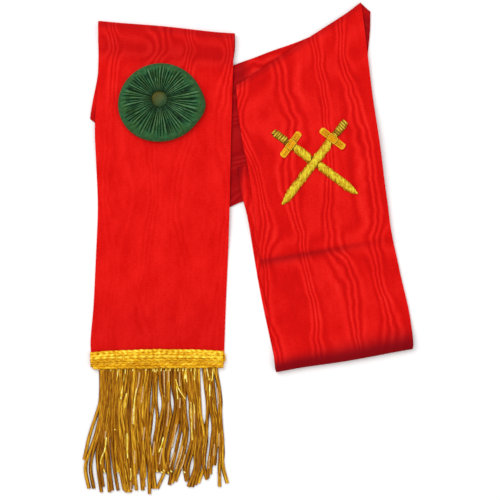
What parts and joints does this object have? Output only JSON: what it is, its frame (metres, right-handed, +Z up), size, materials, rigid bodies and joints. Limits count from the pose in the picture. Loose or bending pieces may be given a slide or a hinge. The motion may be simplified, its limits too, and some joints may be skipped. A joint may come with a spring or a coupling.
{
  "type": "sash of an order",
  "caption": "Wide ribbon sash folded flat, with a pleated rosette, crossed embroidered swords, and a braid and fringe on its free end.",
  "frame": {"origin": "centre of the footprint, on the surface that the sash lies on", "axes": "+Z up out of the surface, +Y from the fringe towards the folds at the top, +X to the right"},
  "size_m": [0.2422, 0.3676, 0.0116],
  "materials": {
    "ribbon": "red moire silk",
    "rosette": "green gathered ribbon",
    "button": "olive covered button",
    "braid": "gold metal-thread braid",
    "fringe": "gold metal-thread fringe",
    "embroidery": "gold satin-stitch embroidery"
  },
  "bodies": {
    "root": {"ribbon_band": "ribbon", "rosette_pleats": "rosette", "rosette_button": "button", "fringe_braid": "braid", "fringe_strands": "fringe", "sword_over_grip": "embroidery", "sword_over_guard": "embroidery", "sword_over_blade": "embroidery", "sword_under_grip": "embroidery", "sword_under_guard": "embroidery", "sword_under_blade_upper": "embroidery", "sword_under_blade_lower": "embroidery"}
  },
  "joints": []
}
